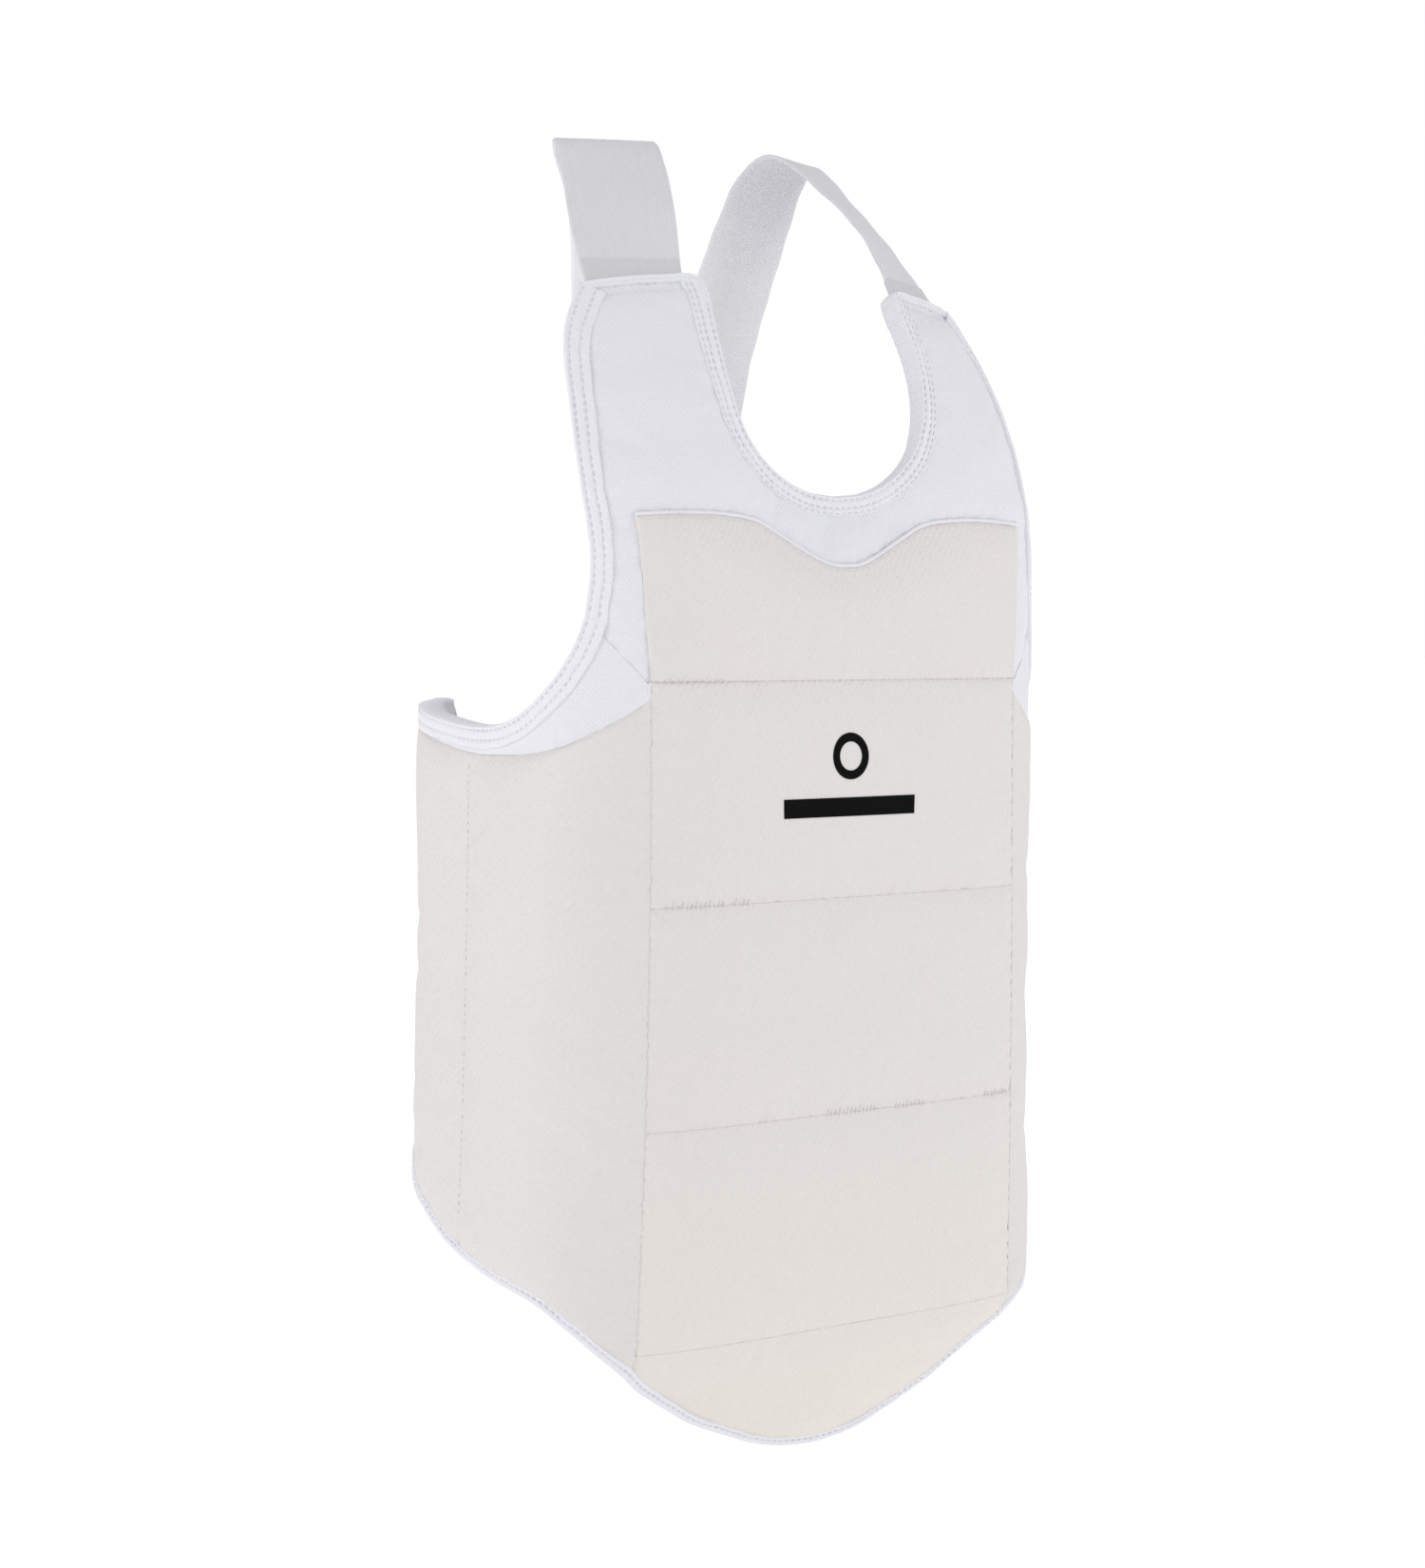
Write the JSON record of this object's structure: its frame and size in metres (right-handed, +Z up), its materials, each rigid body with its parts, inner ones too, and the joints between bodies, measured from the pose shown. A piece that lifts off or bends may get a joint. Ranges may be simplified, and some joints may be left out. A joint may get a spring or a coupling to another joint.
{
  "type": "martial arts chest protector",
  "caption": "White padded chest protector with quilted leathercloth panels, mesh yoke, wrap-round side wings, shoulder straps and a waist belt.",
  "frame": {"origin": "on the centre plane, half way through the depth, at the height of the lowest point of the front tip", "axes": "+X to the wearer's left, -Y to the front of the chest, +Z up towards the shoulders"},
  "size_m": [0.2904, 0.1671, 0.6033],
  "materials": {
    "cover": "satin",
    "textile": "matt",
    "binding": "matt",
    "foam": "matt",
    "lining": "matt",
    "elastic": "matt",
    "loop": "matt",
    "hook": "matt",
    "print": "satin"
  },
  "bodies": {
    "front": {"chest_panel": "cover", "upper_panel": "cover", "middle_panel": "cover", "lower_panel": "cover", "chest_foam": "foam", "upper_foam": "foam", "middle_foam": "foam", "lower_foam": "foam", "front_lining": "lining", "yoke_cover": "textile", "yoke_foam": "foam", "yoke_lining": "lining", "neck_binding": "binding", "tab_binding_left": "binding", "tab_binding_right": "binding", "strap_front_left": "elastic", "strap_front_right": "elastic", "emblem_ring": "print", "emblem_bar": "print"},
    "tip_flap": {"tip_cover": "cover", "tip_foam": "foam", "tip_lining": "lining", "tip_binding": "binding"},
    "wing_right": {"wing_cover_right": "cover", "wing_foam_right": "foam", "wing_lining_right": "lining", "wing_gusset_right": "textile", "wing_binding_right": "binding", "loop_patch": "loop"},
    "wing_left": {"wing_cover_left": "cover", "wing_foam_left": "foam", "wing_lining_left": "lining", "wing_gusset_left": "textile", "wing_binding_left": "binding", "belt_anchor": "elastic"},
    "waist_belt": {"waist_elastic": "elastic", "back_strap": "elastic"},
    "belt_tab": {"hook_tab": "hook"},
    "shoulder_straps": {"strap_rear_left": "elastic", "strap_rear_right": "elastic", "back_patch": "cover", "back_patch_inner": "cover"}
  },
  "joints": [
    {"name": "tip_fold", "type": "hinge", "parent": "front", "child": "tip_flap", "pos_m": [0, -0.0764, 0.06], "axis": [-1, 0, 0], "range_deg": [0, 35]},
    {"name": "wing_right_open", "type": "hinge", "parent": "front", "child": "wing_right", "pos_m": [-0.10569, -0.07564, 0.2], "axis": [0, 0, 1], "range_deg": [0, 40]},
    {"name": "wing_left_open", "type": "hinge", "parent": "front", "child": "wing_left", "pos_m": [0.10569, -0.07564, 0.2], "axis": [0, 0, -1], "range_deg": [0, 40]},
    {"name": "belt_open", "type": "hinge", "parent": "wing_left", "child": "waist_belt", "pos_m": [0.07941, 0.0643, 0.22981], "axis": [0, 0, -1], "range_deg": [0, 70]},
    {"name": "tab_peel", "type": "hinge", "parent": "waist_belt", "child": "belt_tab", "pos_m": [-0.07829, 0.07939, 0.23004], "axis": [0, 0, -1], "range_deg": [0, 60]},
    {"name": "straps_lift", "type": "hinge", "parent": "front", "child": "shoulder_straps", "pos_m": [0, 0.0281, 0.606], "axis": [1, 0, 0], "range_deg": [0, 75]}
  ]
}
